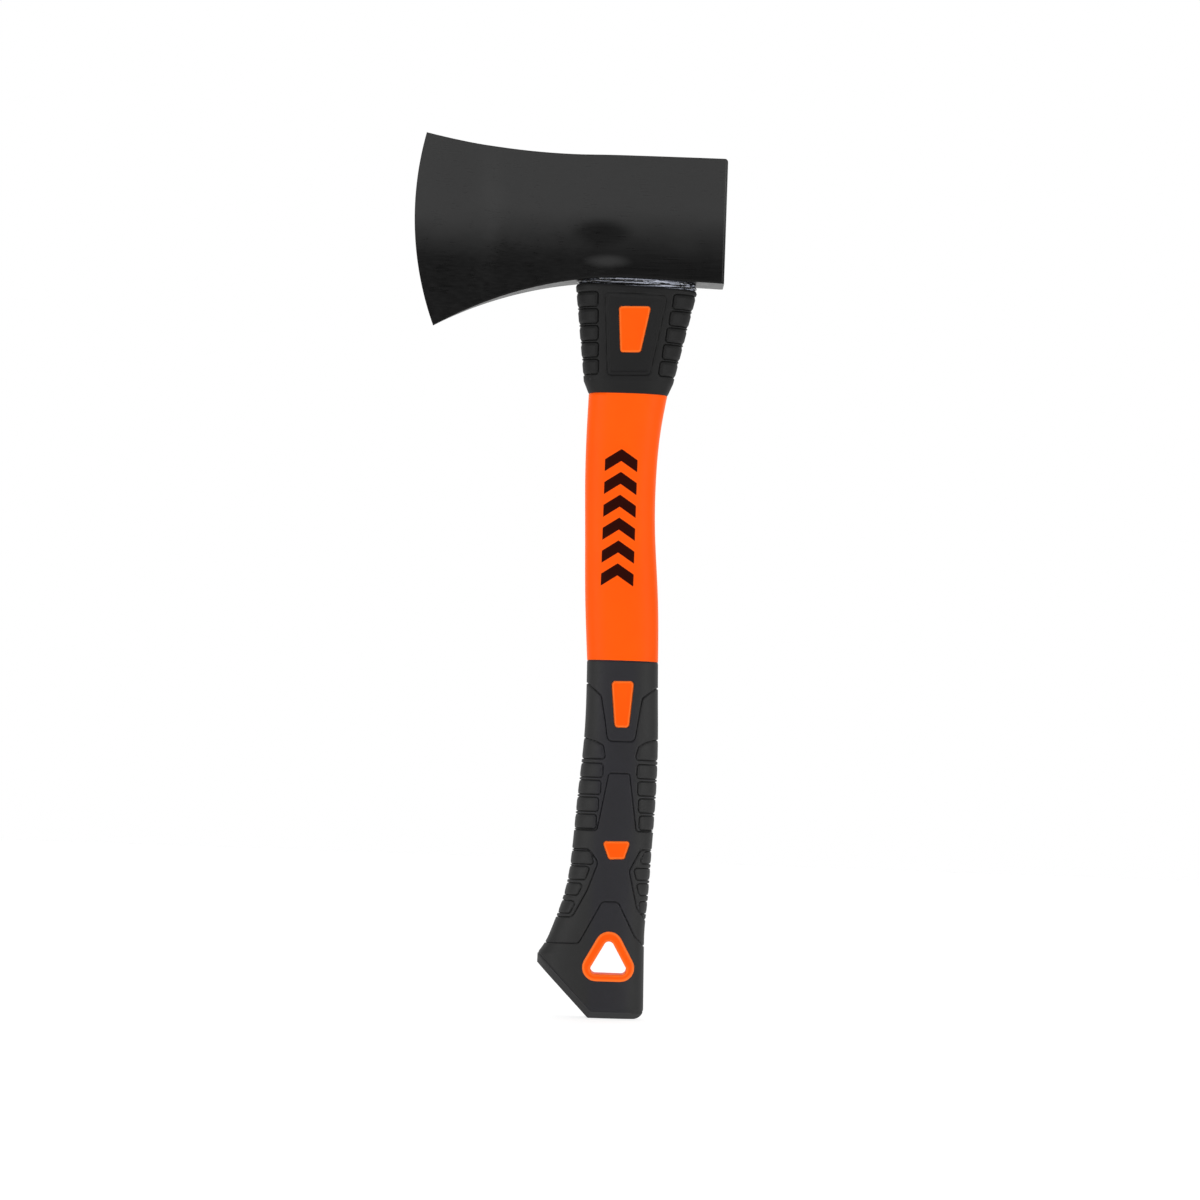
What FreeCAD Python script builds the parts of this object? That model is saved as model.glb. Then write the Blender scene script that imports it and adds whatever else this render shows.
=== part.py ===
# A short single-bit axe: forged head, fibreglass core, orange plastic jacket
# and black rubber mouldings. Millimetres, +Z up the handle, -X to the cutting
# edge, +X to the poll. The origin is the middle of the flat butt face.
import FreeCAD, Part
import math
import os
from FreeCAD import Vector

os.makedirs("parts", exist_ok=True)

# ---------------------------------------------------------------- driving sizes
# Handle lengths, from the butt upwards.
GRIP_LENGTH = 154.0
SHAFT_LENGTH = 115.5
COLLAR_HEIGHT = 46.7
BEAD_HEIGHT = 3.3
HANDLE_WIDTH = 30.8
HANDLE_THICKNESS = 21.0

# Head.
HEAD_HEIGHT = 53.3
HEAD_THICKNESS = 24.6
POLL_REACH = 37.6
EDGE_REACH = 90.9
EDGE_LEAN = 2.9
EDGE_SAGITTA = 6.6
TOE_RISE = 8.7
HEEL_DROP = 22.4
EDGE_LAND = 0.3
EDGE_BEVEL = 0.15
BEARD_START = -8.0
HORN_START = -25.0
BEARD_BOW = 5.1
HORN_BOW = 1.9
SEAT_SLOPE = 0.03
HEAD_CORNER_RADIUS = 1.4

# Eye and what fills it.
EYE_LENGTH = 40.0
EYE_WIDTH = 16.2
EYE_FLARE = 0.8
GLUE_GAP = 0.8
TANG_RECESS = 0.8
GLUE_RECESS = 1.6

# Fibreglass core: the plastic left beside it and over it, and where it ends.
CORE_SIDE_WALL = 6.4
CORE_FACE_WALL = 5.7
CORE_OFFSET = -3.0
CORE_FOOT = 57.0

# Rubber mouldings.
RUBBER_WALL = 2.4
BUTT_WALL = 4.0
WINDOW_SINK = 0.25
COLLAR_TOP_WIDTH = 53.0
COLLAR_THICKNESS = 23.6
COLLAR_LIP = 2.4
COLLAR_LIP_HEIGHT = 5.6
BEAD_INSET = 1.0
BUTT_CORNER_RADIUS = 4.6
BUTT_CHAMFER = 2.8
KNOB_FLARE = 0.6
GROOVE_WIDTH = 0.6
GROOVE_DEPTH = 0.8
BLOCK_GAP = 1.3
BLOCK_DEPTH = 1.0
PANEL_DEPTH = 0.35
COLLAR_PANEL_RADIUS = 2.6
BLOCK_RADIUS = 1.0

# Lanyard hole.
HOLE_CORNER_RADIUS = 2.2
RING_CORNER_RADIUS = 6.2
RING_PROUD = 0.4

# ---------------------------------------------------------------- derived heights
SHAFT_FOOT = GRIP_LENGTH
COLLAR_FOOT = SHAFT_FOOT + SHAFT_LENGTH
COLLAR_TOP = COLLAR_FOOT + COLLAR_HEIGHT
UNDERSIDE = COLLAR_TOP + BEAD_HEIGHT
HEAD_TOP = UNDERSIDE + HEAD_HEIGHT
TANG_TOP = HEAD_TOP - TANG_RECESS
CORE_WIDTH = HANDLE_WIDTH - 2 * CORE_SIDE_WALL
CORE_THICKNESS = HANDLE_THICKNESS - 2 * CORE_FACE_WALL

# How far a cutting tool reaches: past everything, and just past a face.
FAR = 400.0
OVERRUN = 5.0

# The outlines below were drawn for a grip, collar and handle of these sizes,
# and stretch with the driving sizes above.
DRAWN_GRIP_LENGTH = 154.0
DRAWN_COLLAR_HEIGHT = 46.7
DRAWN_WIDTH = 30.8
DRAWN_THICKNESS = 21.0
STRETCH_X = HANDLE_WIDTH / DRAWN_WIDTH
STRETCH_Y = HANDLE_THICKNESS / DRAWN_THICKNESS


def on_grip(x, height):
    """A drawn grip point, stretched to the real grip."""
    return (x * STRETCH_X, height * GRIP_LENGTH / DRAWN_GRIP_LENGTH)


def on_collar(x, height):
    """A drawn collar point, its height counted from the collar's foot."""
    share = height / DRAWN_COLLAR_HEIGHT
    return (x * STRETCH_X, COLLAR_FOOT + share * COLLAR_HEIGHT)


# Sections of each stretch: height, left edge, right edge, half thickness.
KNOB_HEIGHT = 27.0
GRIP_SECTIONS = [
    (KNOB_HEIGHT, -33.0, 13.0, 12.4),
    (31.5, -30.0, 12.9, 12.4),
    (38.0, -27.2, 12.9, 12.3),
    (48.5, -23.6, 13.6, 12.1),
    (58.0, -21.3, 14.2, 12.0),
    (70.0, -19.8, 14.7, 12.0),
    (95.0, -18.1, 15.8, 11.9),
    (121.0, -16.1, 15.9, 11.3),
    (138.0, -15.8, 15.3, 10.8),
    (DRAWN_GRIP_LENGTH, -16.0, 14.8, 10.5),
]
# Shaft heights are shares of the shaft's length.
SHAFT_SECTIONS = [
    (0.0, -16.0, 14.8, 10.5),
    (0.24, -17.8, 13.8, 10.4),
    (0.50, -18.9, 11.5, 10.3),
    (0.68, -19.6, 11.2, 10.3),
    (0.89, -19.6, 12.8, 10.5),
    (1.0, -19.3, 14.8, 10.8),
]


# ---------------------------------------------------------------- shape helpers
SECTION_FULLNESS = 0.69
EYE_FULLNESS = 0.71


def oval(z, left, right, half_thickness, fullness=SECTION_FULLNESS):
    """Closed outline at height z: four quarters, fuller than an ellipse."""
    middle = (left + right) / 2
    half_width = (right - left) / 2
    edges = []
    for across, deep in ((1, 1), (-1, 1), (-1, -1), (1, -1)):
        side = Vector(middle + across * half_width, 0, z)
        face = Vector(middle, deep * half_thickness, z)
        side_pull = side + Vector(0, deep * half_thickness * fullness, 0)
        face_pull = face + Vector(across * half_width * fullness, 0, 0)
        poles = [side, side_pull, face_pull, face]
        if across * deep < 0:
            poles.reverse()
        quarter = Part.BezierCurve()
        quarter.setPoles(poles)
        edges.append(quarter.toShape())
    return Part.Wire(edges)


def loft(sections, inset=0.0, ruled=False, fullness=SECTION_FULLNESS):
    """Solid through oval sections, all drawn in by the inset."""
    wires = []
    for z, left, right, half_thickness in sections:
        wires.append(oval(z, left + inset, right - inset, half_thickness - inset, fullness))
    return Part.makeLoft(wires, True, ruled)


def rounded_wire(corners, radius, closed=True):
    """Straight runs in the XZ plane joined by arcs of one radius."""
    places = [Vector(x, 0, z) for x, z in corners]
    count = len(places)
    edges = []
    first = None
    last = None
    for i, corner in enumerate(places):
        if not closed and i in (0, count - 1):
            start, end = corner, corner
        else:
            back = (places[i - 1] - corner).normalize()
            ahead = (places[(i + 1) % count] - corner).normalize()
            half_angle = back.getAngle(ahead) / 2
            setback = radius / math.tan(half_angle)
            bisector = (back + ahead).normalize()
            middle = corner + bisector * (radius / math.sin(half_angle) - radius)
            start = corner + back * setback
            end = corner + ahead * setback
        if last is not None:
            edges.append(Part.makeLine(last, start))
        if start != end:
            edges.append(Part.Arc(start, middle, end).toShape())
        if first is None:
            first = start
        last = end
    if closed:
        edges.append(Part.makeLine(last, first))
    return Part.Wire(edges)


def through(face):
    """Prism of an XZ face, running right through the axe along Y."""
    moved = face.copy()
    moved.translate(Vector(0, -FAR / 2, 0))
    return moved.extrude(Vector(0, FAR, 0))


def outline_prism(corners, radius):
    return through(Part.Face(rounded_wire(corners, radius)))


def band_prism(path, width, radius):
    """Prism of a band of one width that follows an open path."""
    wire = rounded_wire(path, radius, closed=False)
    return through(wire.makeOffset2D(width / 2, 0, True, False, False))


def moat_prism(corners, radius, width):
    """Prism of the gap of one width that rings a raised block."""
    inner = rounded_wire(corners, radius)
    outer = inner.makeOffset2D(width)
    return through(Part.Face(outer).cut(Part.Face(inner)))


def below_plane(height):
    """Everything under the slope that the head's underside is parallel to."""
    rise = SEAT_SLOPE * FAR
    corners = [(-FAR, height + rise), (FAR, height - rise), (FAR, -FAR), (-FAR, -FAR)]
    places = [Vector(x, 0, z) for x, z in corners]
    return through(Part.Face(Part.makePolygon(places + places[:1])))


# ---------------------------------------------------------------- handle bodies
def stretched(sections, place):
    """Drawn sections moved to their real heights and widths."""
    result = []
    for height, left, right, half_thickness in sections:
        result.append((place(height), left * STRETCH_X, right * STRETCH_X, half_thickness * STRETCH_Y))
    return result


GRIP = stretched(GRIP_SECTIONS, lambda height: on_grip(0, height)[1])
SHAFT = stretched(SHAFT_SECTIONS, lambda share: SHAFT_FOOT + share * SHAFT_LENGTH)
KNOB = [(0.0, GRIP[0][1], GRIP[0][2] + KNOB_FLARE, GRIP[0][3]), GRIP[0]]


def collar_sections():
    """From the foot, flush with the shaft, over the lip to the wide top."""
    _, left, right, half_thickness = SHAFT[-1]
    half_top = COLLAR_TOP_WIDTH / 2
    lip_left = left - COLLAR_LIP
    lip_right = right + COLLAR_LIP
    lip_half = half_thickness + COLLAR_LIP / 2
    above_lip = COLLAR_HEIGHT - COLLAR_LIP_HEIGHT
    sections = []
    for share in (0.0, 0.5, 1.0):
        sections.append((
            COLLAR_FOOT + COLLAR_LIP_HEIGHT + share * above_lip,
            lip_left + share * (-half_top - lip_left),
            lip_right + share * (half_top - lip_right),
            lip_half + share * (COLLAR_THICKNESS / 2 - lip_half),
        ))
    height, left, right, half_thickness = sections[-1]
    sections.append((height + OVERRUN, left, right, half_thickness))
    return [SHAFT[-1]], sections


FOOT, COLLAR = collar_sections()


SLANT_TOP = on_grip(-33.1, 23.1)
SLANT_FOOT = on_grip(-10.4, 0.0)


def butt_outline(inset):
    """Side view of the slanted, flat-ended butt, open upwards. Above the knob's
    waist it stands clear of the grip's right side, which bulges there."""
    right = KNOB[0][2] - inset
    lean = math.atan2(SLANT_TOP[1] - SLANT_FOOT[1], SLANT_FOOT[0] - SLANT_TOP[0])
    foot_x = SLANT_FOOT[0] + inset / math.sin(lean) - inset / math.tan(lean)
    far_left = 2 * SLANT_TOP[0]
    far_right = 2 * right
    waist = KNOB[1][0] / 2
    return [
        (far_left, inset + (foot_x - far_left) * math.tan(lean)),
        (foot_x, inset),
        (right, inset),
        (right, waist),
        (far_right, 2 * KNOB[1][0]),
        (far_right, FAR),
        (far_left, FAR),
    ]


def grip_body(inset):
    """Smooth outside of the grip, drawn in by the inset."""
    knob = loft(KNOB, inset, ruled=True)
    upper = loft(GRIP, inset)
    radius = BUTT_CORNER_RADIUS
    return upper.fuse(knob).common(outline_prism(butt_outline(inset), radius))


def collar_body(inset):
    """Smooth outside of the collar, drawn in by the inset."""
    lip = loft(FOOT + COLLAR[:1], inset, ruled=True)
    upper = loft(COLLAR, inset, ruled=True)
    return upper.fuse(lip).common(below_plane(COLLAR_TOP))


def shaft_body():
    return loft(SHAFT)


# ---------------------------------------------------------------- windows and hole
def window_outlines():
    collar = [(-7.9, 37.8), (6.8, 38.3), (2.8, 17.8), (-6.6, 17.4)]
    upper = [(-5.4, 145.1), (4.9, 145.4), (3.3, 125.0), (-3.3, 124.8)]
    lower = [(-7.0, 76.0), (5.8, 76.5), (3.3, 68.4), (-3.9, 68.1)]
    return (
        [on_collar(x, z) for x, z in collar],
        [on_grip(x, z) for x, z in upper],
        [on_grip(x, z) for x, z in lower],
    )


COLLAR_WINDOW, UPPER_WINDOW, LOWER_WINDOW = window_outlines()
COLLAR_WINDOW_RADIUS = 1.5
UPPER_WINDOW_RADIUS = 1.8
LOWER_WINDOW_RADIUS = 1.3
HOLE_CORNERS = [on_grip(x, z) for x, z in [(-2.3, 35.3), (7.0, 18.9), (-11.5, 18.9)]]
RING_CORNERS = [on_grip(x, z) for x, z in [(-2.3, 44.2), (13.4, 15.7), (-18.0, 15.7)]]


def hole_prism():
    return outline_prism(HOLE_CORNERS, HOLE_CORNER_RADIUS)


def ring_prism():
    return outline_prism(RING_CORNERS, RING_CORNER_RADIUS)


def lanyard_ring():
    """Tube that lines the hole, follows the faces and stands a little proud."""
    return ring_prism().common(grip_body(-RING_PROUD))


# ---------------------------------------------------------------- grip relief
def grip_blocks():
    """Outlines of the raised blocks; their outer ends run off the side."""
    left = -45.0
    right = 30.0
    outlines = [
        [(left, 120.0), (-15.7, 120.0), (-11.1, 118.6), (-8.0, 117.1), (-6.9, 111.7), (left, 111.3)],
        [(right, 120.0), (14.8, 120.0), (10.6, 118.6), (7.9, 116.9), (6.6, 111.7), (right, 111.3)],
    ]
    pitch = 7.35
    height = 5.5
    for i in range(4):
        top = 109.2 - i * pitch
        inner_left = -7.8 - 0.72 * i
        inner_right = 7.6 + 0.56 * i
        outlines.append([(left, top), (inner_left, top), (inner_left, top - height), (left, top - height)])
        outlines.append([(right, top), (inner_right, top), (inner_right, top - height), (right, top - height)])
    lower_left = [
        (71.3, 66.2, -12.0, -10.3), (64.7, 59.5, -11.9, -13.8),
        (57.4, 52.8, -14.7, -16.9), (49.8, 44.9, -17.5, -20.0),
    ]
    lower_right = [
        (71.8, 67.1, 12.3, 10.0), (64.6, 60.1, 7.6, 8.8),
        (58.0, 53.5, 9.0, 10.4), (50.3, 45.5, 10.4, 11.2),
    ]
    for top, bottom, top_end, bottom_end in lower_left:
        outlines.append([(left, top), (top_end, top), (bottom_end, bottom), (left, bottom)])
    for top, bottom, top_end, bottom_end in lower_right:
        outlines.append([(right, top), (top_end, top), (bottom_end, bottom), (right, bottom)])
    return [[on_grip(x, z) for x, z in outline] for outline in outlines]


def grip_grooves():
    """Paths of the moulded lines, with the radius that rounds their bends."""
    shield = [
        (-30.0, 144.0), (-15.6, 144.0), (-9.4, 138.6), (-7.4, 128.1), (-6.0, 119.1),
        (5.9, 119.1), (7.1, 128.1), (8.6, 138.0), (14.6, 142.7), (28.0, 143.0),
    ]
    palm = [
        (-35.0, 80.9), (-18.0, 80.5), (-9.2, 80.7), (-4.9, 105.3),
        (4.1, 105.3), (7.8, 80.7), (15.0, 80.5), (28.0, 80.9),
    ]
    contour_left = [
        (-35.0, 72.4), (-12.2, 72.4), (-8.2, 66.8), (-12.6, 54.6), (-18.6, 43.1), (-35.0, 43.1),
    ]
    contour_right = [(28.0, 73.0), (10.2, 73.0), (5.4, 63.6), (9.2, 47.6), (13.4, 42.2), (28.0, 42.0)]
    arch = [
        (-50.0, 31.3), (-15.4, 31.9), (-5.8, 50.1), (1.0, 50.1), (8.6, 35.6), (12.9, 31.3), (28.0, 31.0),
    ]
    paths = [(shield, 2.5), (palm, 1.2), (contour_left, 3.0), (contour_right, 3.0), (arch, 2.2)]
    return [([on_grip(x, z) for x, z in path], radius) for path, radius in paths]


def carve(body, floor, prisms):
    """Cut the prisms into the body, down to the floor and no further."""
    tools = prisms[0].multiFuse(prisms[1:]) if len(prisms) > 1 else prisms[0]
    return body.cut(tools.cut(floor))


def grip_relief(body):
    prisms = []
    for outline in grip_blocks():
        prisms.append(moat_prism(outline, BLOCK_RADIUS, GROOVE_WIDTH))
    for path, radius in grip_grooves():
        prisms.append(band_prism(path, GROOVE_WIDTH, radius))
    return carve(body, grip_body(GROOVE_DEPTH), prisms)


# ---------------------------------------------------------------- collar relief
def collar_blocks():
    """Five blocks down each side; their outer ends run off the side."""
    pitch = 7.33
    height = 5.8
    outlines = []
    for i in range(5):
        top = 43.5 - i * pitch
        inner_left = -17.1 + 0.28 * i
        inner_right = 16.6 - 1.25 * i
        outlines.append([(-40.0, top), (inner_left, top), (inner_left, top - height), (-40.0, top - height)])
        outlines.append([(40.0, top), (inner_right, top), (inner_right - 0.6, top - height), (40.0, top - height)])
    return [[on_collar(x, z) for x, z in outline] for outline in outlines]


def collar_relief(body):
    moats = []
    for outline in collar_blocks():
        moats.append(moat_prism(outline, BLOCK_RADIUS, BLOCK_GAP / 2))
    corners = [(-14.4, 44.2), (14.2, 43.6), (7.4, 7.8), (-12.1, 7.1)]
    panel = outline_prism([on_collar(x, z) for x, z in corners], COLLAR_PANEL_RADIUS)
    body = carve(body, collar_body(PANEL_DEPTH), [panel])
    return carve(body, collar_body(BLOCK_DEPTH), moats)


# ---------------------------------------------------------------- handle pieces
def handle_core():
    middle = CORE_OFFSET * STRETCH_X
    left = middle - CORE_WIDTH / 2
    right = middle + CORE_WIDTH / 2
    half = CORE_THICKNESS / 2
    return loft([(CORE_FOOT, left, right, half), (TANG_TOP, left, right, half)], ruled=True)


def tang():
    """Plastic-clad tongue that fills the eye but for the glue gap."""
    half_length = EYE_LENGTH / 2 - GLUE_GAP
    half_width = EYE_WIDTH / 2 - GLUE_GAP
    foot = COLLAR_FOOT + COLLAR_HEIGHT / 2
    sections = [(foot, -half_length, half_length, half_width), (TANG_TOP, -half_length, half_length, half_width)]
    return loft(sections, ruled=True, fullness=EYE_FULLNESS)


def windows():
    """Prisms of the three windows: the collar's, then the grip's two."""
    return (
        outline_prism(COLLAR_WINDOW, COLLAR_WINDOW_RADIUS),
        outline_prism(UPPER_WINDOW, UPPER_WINDOW_RADIUS),
        outline_prism(LOWER_WINDOW, LOWER_WINDOW_RADIUS),
    )


def window_bosses():
    """Lumps of the jacket that fill the windows in the rubber."""
    collar, upper, lower = windows()
    skin = grip_body(WINDOW_SINK)
    return [
        collar.common(collar_body(WINDOW_SINK + PANEL_DEPTH)),
        upper.common(skin),
        lower.common(skin),
    ]


def jacket_mass():
    """Outside of the plastic: tongue, bare shaft, and the body under the rubber."""
    under_grip = grip_body(RUBBER_WALL).common(outline_prism(butt_outline(BUTT_WALL), BUTT_CORNER_RADIUS))
    under_collar = collar_body(RUBBER_WALL)
    pieces = [under_grip, under_collar, tang(), lanyard_ring()] + window_bosses()
    return shaft_body().multiFuse(pieces)


def handle_jacket(mass, core):
    """Orange plastic moulded round the core, with the lanyard hole."""
    return mass.cut(hole_prism()).cut(core)


def overstrike_collar(mass):
    """Rubber over the jacket's top end, open at its window."""
    collar_window = windows()[0]
    return collar_relief(collar_body(0.0)).cut(collar_window).cut(mass)


def chamfered_butt(body):
    """The grip with its slanted and flat end faces chamfered all round."""
    edges = []
    for face in body.Faces:
        flat = type(face.Surface).__name__ in ("Plane", "Cylinder")
        if flat and face.CenterOfMass.z < GRIP_LENGTH / 2:
            edges.extend(face.Edges)
    rim = [edge for edge in edges if sum(edge.isSame(other) for other in edges) == 1]
    return body.makeChamfer(BUTT_CHAMFER, rim)


def grip_sleeve(mass):
    """Rubber round the hand grip and butt, open at the windows and the ring."""
    sleeve = grip_relief(chamfered_butt(grip_body(0.0)))
    for opening in windows()[1:] + (ring_prism(),):
        sleeve = sleeve.cut(opening)
    return sleeve.cut(mass)


# ---------------------------------------------------------------- head
def cutting_edge():
    """Top corner, crown and bottom corner of the curved edge."""
    top = Vector(-EDGE_REACH - EDGE_LEAN, 0, HEAD_TOP + TOE_RISE)
    bottom = Vector(-EDGE_REACH + EDGE_LEAN, 0, UNDERSIDE - HEEL_DROP)
    chord = (top - bottom).normalize()
    outwards = Vector(-chord.z, 0, chord.x)
    crown = (top + bottom) / 2 + outwards * EDGE_SAGITTA
    return top, crown, bottom


def bowed(start, end, bow):
    """Arc whose middle stands above its chord by the bow."""
    middle = (start + end) / 2 + Vector(0, 0, bow)
    return Part.Arc(start, middle, end).toShape()


def head_side():
    """Side view of the head."""
    top, crown, bottom = cutting_edge()
    slope = Vector(1, 0, -SEAT_SLOPE)
    beard = Vector(0, 0, UNDERSIDE) + slope * BEARD_START
    heel = Vector(0, 0, UNDERSIDE) + slope * POLL_REACH
    horn = Vector(HORN_START, 0, HEAD_TOP)
    radius = HEAD_CORNER_RADIUS
    reach = POLL_REACH
    turn = radius * (1 - math.sqrt(0.5))
    edges = [
        Part.Arc(bottom, crown, top).toShape(),
        bowed(top, horn, -HORN_BOW),
        Part.makeLine(horn, Vector(reach - radius, 0, HEAD_TOP)),
        Part.Arc(
            Vector(reach - radius, 0, HEAD_TOP),
            Vector(reach - turn, 0, HEAD_TOP - turn),
            Vector(reach, 0, HEAD_TOP - radius),
        ).toShape(),
        Part.makeLine(Vector(reach, 0, HEAD_TOP - radius), heel),
        Part.makeLine(heel, beard),
        bowed(beard, bottom, BEARD_BOW),
    ]
    return through(Part.Face(Part.Wire(edges)))


# Half thicknesses of the head from the poll to beyond the edge, as shares of the
# thickest, and where those behind the poll lie.
CHEEK_STATIONS = (2.0, -28.0, -45.0, -56.0, -68.0, -82.0, -108.0)
CHEEK_SHARES = (0.967, 1.0, 0.951, 0.83, 0.58, 0.31, 0.16, 0.06)


def head_plan():
    """Top view: poll, swell round the eye, hollow cheeks, thin blade."""
    half = HEAD_THICKNESS / 2
    corner = HEAD_CORNER_RADIUS
    reach = POLL_REACH
    poll_half = half * CHEEK_SHARES[0]
    cheek = [(reach - corner, poll_half)]
    cheek.extend((x, half * share) for x, share in zip(CHEEK_STATIONS, CHEEK_SHARES[1:]))
    turn = corner * (1 - math.sqrt(0.5))
    edges = []
    for side in (1, -1):
        curve = Part.BSplineCurve()
        curve.interpolate(Points=[Vector(x, side * y, 0) for x, y in cheek])
        edges.append(curve.toShape())
        edges.append(Part.Arc(
            Vector(reach - corner, side * poll_half, 0),
            Vector(reach - turn, side * (poll_half - turn), 0),
            Vector(reach, side * (poll_half - corner), 0),
        ).toShape())
    tip_x, tip_y = cheek[-1]
    edges.append(Part.makeLine(Vector(tip_x, tip_y, 0), Vector(tip_x, -tip_y, 0)))
    edges.append(Part.makeLine(Vector(reach, poll_half - corner, 0), Vector(reach, corner - poll_half, 0)))
    face = Part.Face(Part.Wire(Part.__sortEdges__(edges)))
    return face.extrude(Vector(0, 0, 2 * FAR))


def edge_bevel():
    """Shallow double cone that thins the blade to its curved edge."""
    top, crown, bottom = cutting_edge()
    half_chord = (top - bottom).Length / 2
    radius = half_chord ** 2 / (2 * EDGE_SAGITTA) + EDGE_SAGITTA / 2
    middle = (top + bottom) / 2
    centre = crown + (middle - crown).normalize() * radius
    land = EDGE_LAND / 2
    hub = land + radius * EDGE_BEVEL
    corners = [
        centre + Vector(0, -hub, 0), centre + Vector(radius, -land, 0),
        centre + Vector(radius, land, 0), centre + Vector(0, hub, 0),
    ]
    profile = Part.Face(Part.makePolygon(corners + corners[:1]))
    return profile.revolve(centre, Vector(0, 1, 0), 360)


def head_blank():
    return head_side().common(head_plan()).common(edge_bevel())


def eye_space():
    """Tapered oval hole through the head, wider at the top to lock the glue."""
    half_length = EYE_LENGTH / 2
    half_width = EYE_WIDTH / 2
    sections = [
        (UNDERSIDE - OVERRUN, -half_length, half_length, half_width),
        (HEAD_TOP + OVERRUN, -half_length - EYE_FLARE, half_length + EYE_FLARE, half_width + EYE_FLARE),
    ]
    return loft(sections, ruled=True, fullness=EYE_FULLNESS)


def axe_head(blank):
    return blank.cut(eye_space())


def eye_adhesive(blank, mass):
    """Epoxy between the tongue and the wall of the eye."""
    top = HEAD_TOP - GLUE_RECESS
    lid = Part.makeBox(FAR, FAR, top, Vector(-FAR / 2, -FAR / 2, 0))
    return eye_space().common(blank).common(lid).cut(mass)


def seal_bead(blank, mass):
    """Ring of sealant squeezed out between the collar and the head."""
    half = COLLAR_TOP_WIDTH / 2 - BEAD_INSET
    deep = COLLAR_THICKNESS / 2 - BEAD_INSET
    sections = [
        (COLLAR_TOP - OVERRUN, -half, half, deep),
        (UNDERSIDE + OVERRUN, -half, half, deep),
    ]
    ring = loft(sections, ruled=True)
    return ring.cut(below_plane(COLLAR_TOP)).cut(blank).cut(mass)


# ---------------------------------------------------------------- build
def build():
    core = handle_core()
    mass = jacket_mass()
    blank = head_blank()
    nodes = {
        "handle_core": core,
        "handle_jacket": handle_jacket(mass, core),
        "overstrike_collar": overstrike_collar(mass),
        "grip_sleeve": grip_sleeve(mass),
        "axe_head": axe_head(blank),
        "eye_adhesive": eye_adhesive(blank, mass),
        "seal_bead": seal_bead(blank, mass),
    }
    for name, shape in nodes.items():
        box = shape.optimalBoundingBox(False)
        print(name, "solids", len(shape.Solids), "valid", shape.isValid(), "mm3", round(shape.Volume),
              "x", round(box.XMin, 1), round(box.XMax, 1), "z", round(box.ZMin, 1), round(box.ZMax, 1))
        shape.exportStep("parts/" + name + ".step")


build()
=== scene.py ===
# Looks of the short axe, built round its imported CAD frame. Shapes are worked out
# in millimetres, and new_piece turns them into metres.
import math

import bmesh
import bpy
import numpy as np
from mathutils import Matrix, Vector


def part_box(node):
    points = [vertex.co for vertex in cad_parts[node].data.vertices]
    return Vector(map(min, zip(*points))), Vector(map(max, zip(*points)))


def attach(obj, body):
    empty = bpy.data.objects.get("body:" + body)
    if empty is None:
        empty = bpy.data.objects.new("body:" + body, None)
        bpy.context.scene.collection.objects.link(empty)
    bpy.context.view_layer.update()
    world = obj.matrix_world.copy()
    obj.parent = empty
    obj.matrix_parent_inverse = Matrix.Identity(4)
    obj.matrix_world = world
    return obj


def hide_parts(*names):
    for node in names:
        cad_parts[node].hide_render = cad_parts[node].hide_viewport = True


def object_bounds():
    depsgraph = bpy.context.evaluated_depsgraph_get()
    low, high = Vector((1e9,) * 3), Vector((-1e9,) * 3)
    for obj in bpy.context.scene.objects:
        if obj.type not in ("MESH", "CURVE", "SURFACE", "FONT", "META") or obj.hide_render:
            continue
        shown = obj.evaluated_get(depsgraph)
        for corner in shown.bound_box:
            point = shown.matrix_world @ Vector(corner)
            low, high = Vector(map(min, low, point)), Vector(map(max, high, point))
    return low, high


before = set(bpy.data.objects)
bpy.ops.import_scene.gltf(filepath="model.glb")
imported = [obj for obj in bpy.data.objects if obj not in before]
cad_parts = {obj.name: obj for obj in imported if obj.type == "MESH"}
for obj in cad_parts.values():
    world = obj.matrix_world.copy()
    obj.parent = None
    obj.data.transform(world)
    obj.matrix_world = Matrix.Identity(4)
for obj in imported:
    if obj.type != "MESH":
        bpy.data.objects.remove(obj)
CAD_LOW, CAD_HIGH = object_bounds()
MM = 0.001


def level(node, end):
    """Height in millimetres of a CAD node's foot (end 0) or top (end 1)."""
    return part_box(node)[end].z / MM


# ------------------------------------------------------------ heights and sizes
BUTT = level("grip_sleeve", 0)
SHAFT_FOOT = level("grip_sleeve", 1)
COLLAR_FOOT = level("overstrike_collar", 0)
TANG_TOP = level("handle_core", 1)
POLL_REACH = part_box("axe_head")[1].x / MM
HEAD_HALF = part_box("axe_head")[1].y / MM
TANG_RECESS = 0.8
HEAD_TOP = TANG_TOP + TANG_RECESS
COLLAR_HEIGHT = 46.7
COLLAR_TOP = COLLAR_FOOT + COLLAR_HEIGHT
BEAD_HEIGHT = 3.3
UNDERSIDE = COLLAR_TOP + BEAD_HEIGHT
SEAT_SLOPE = 0.03
KNOB_HEIGHT = 27.0
BUTT_CHAMFER = 2.8
RUBBER_WALL = 2.4
WINDOW_SINK = 0.25
POCKET_DEPTH = 1.9
PANEL_STEP = 0.35
GROOVE_WIDTH = 0.6
GROOVE_DEPTH = 0.8
MOAT_WIDTH = 0.65
MOAT_DEPTH = 1.0
SHOULDER_DEPTH = 0.16
COLLAR_SHOULDER_DEPTH = 0.35
PANEL_LIP = 1.9
BLOCK_RADIUS = 1.0
COLLAR_PANEL_RADIUS = 2.6
FULLNESS = 0.69
EYE_FULLNESS = 0.71
TONGUE_REACH, TONGUE_HALF = 19.2, 7.3
BEAD_REACH, BEAD_HALF = 25.4, 11.0

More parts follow.
